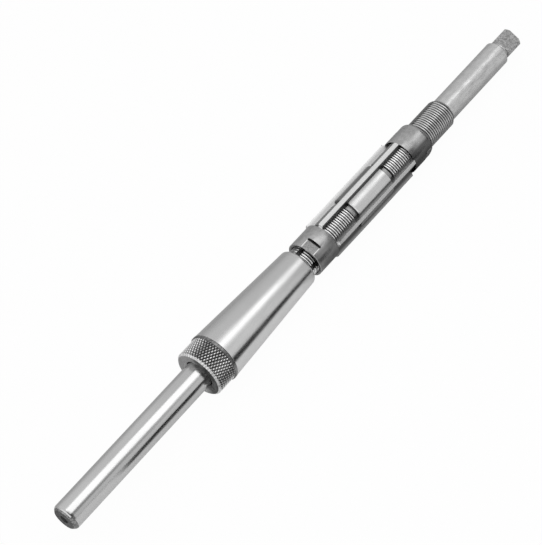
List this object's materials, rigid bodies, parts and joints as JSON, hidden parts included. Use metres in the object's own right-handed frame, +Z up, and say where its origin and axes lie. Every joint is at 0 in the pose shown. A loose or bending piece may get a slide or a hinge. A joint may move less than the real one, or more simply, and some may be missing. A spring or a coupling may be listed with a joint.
{
  "type": "adjustable hand reamer",
  "caption": "Adjustable hand reamer with straight inserted blades between two coned nuts, a long round guide rod, a tapered sliding guide sleeve, and a square drive end.",
  "frame": {"origin": "centre of the footprint, on the surface that the tool lies on", "axes": "+X along the tool, from the free end of the guide towards the driving square; +Z up"},
  "size_m": [0.3198, 0.0246, 0.0246],
  "materials": {
    "bar_steel": "ground and polished",
    "sleeve_steel": "fine ground",
    "clamp_steel": "knurled, dark",
    "nut_steel": "dull, heat darkened",
    "blade_steel": "surface ground"
  },
  "bodies": {
    "reamer": {"reamer_body": "bar_steel"},
    "front_nut": {"front_nut": "nut_steel"},
    "rear_nut": {"rear_nut": "nut_steel"},
    "blade_1": {"blade_1": "blade_steel"},
    "blade_2": {"blade_2": "blade_steel"},
    "blade_3": {"blade_3": "blade_steel"},
    "blade_4": {"blade_4": "blade_steel"},
    "blade_5": {"blade_5": "blade_steel"},
    "guide_sleeve": {"cone_sleeve": "sleeve_steel"},
    "clamp_nut": {"knurled_nut": "clamp_steel"}
  },
  "joints": [
    {"name": "front_nut_travel", "type": "slide", "parent": "reamer", "child": "front_nut", "axis": [1, 0, 0], "range_m": [-0.0032, 0.0064]},
    {"name": "rear_nut_travel", "type": "slide", "parent": "reamer", "child": "rear_nut", "axis": [1, 0, 0], "range_m": [-0.00372, 0.00745]},
    {"name": "blade_1_slide", "type": "slide", "parent": "reamer", "child": "blade_1", "axis": [0.999, 0, 0.0436], "range_m": [-0.00347, 0.00693]},
    {"name": "blade_2_slide", "type": "slide", "parent": "reamer", "child": "blade_2", "axis": [0.999, -0.0415, 0.0135], "range_m": [-0.00347, 0.00693]},
    {"name": "blade_3_slide", "type": "slide", "parent": "reamer", "child": "blade_3", "axis": [0.999, -0.0256, -0.0353], "range_m": [-0.00347, 0.00693]},
    {"name": "blade_4_slide", "type": "slide", "parent": "reamer", "child": "blade_4", "axis": [0.999, 0.0256, -0.0353], "range_m": [-0.00347, 0.00693]},
    {"name": "blade_5_slide", "type": "slide", "parent": "reamer", "child": "blade_5", "axis": [0.999, 0.0415, 0.0135], "range_m": [-0.00347, 0.00693]},
    {"name": "guide_sleeve_slide", "type": "slide", "parent": "reamer", "child": "guide_sleeve", "axis": [-1, 0, 0], "range_m": [0, 0.08]},
    {"name": "clamp_nut_turn", "type": "hinge", "parent": "guide_sleeve", "child": "clamp_nut", "pos_m": [-0.06785, 0, 0.0123], "axis": [1, 0, 0], "range_deg": [-180, 0]}
  ],
  "couplings": [
    {"joint": "rear_nut_travel", "follows": "front_nut_travel", "ratio": 1.1636},
    {"joint": "blade_1_slide", "follows": "front_nut_travel", "ratio": 1.0828},
    {"joint": "blade_2_slide", "follows": "front_nut_travel", "ratio": 1.0828},
    {"joint": "blade_3_slide", "follows": "front_nut_travel", "ratio": 1.0828},
    {"joint": "blade_4_slide", "follows": "front_nut_travel", "ratio": 1.0828},
    {"joint": "blade_5_slide", "follows": "front_nut_travel", "ratio": 1.0828}
  ]
}
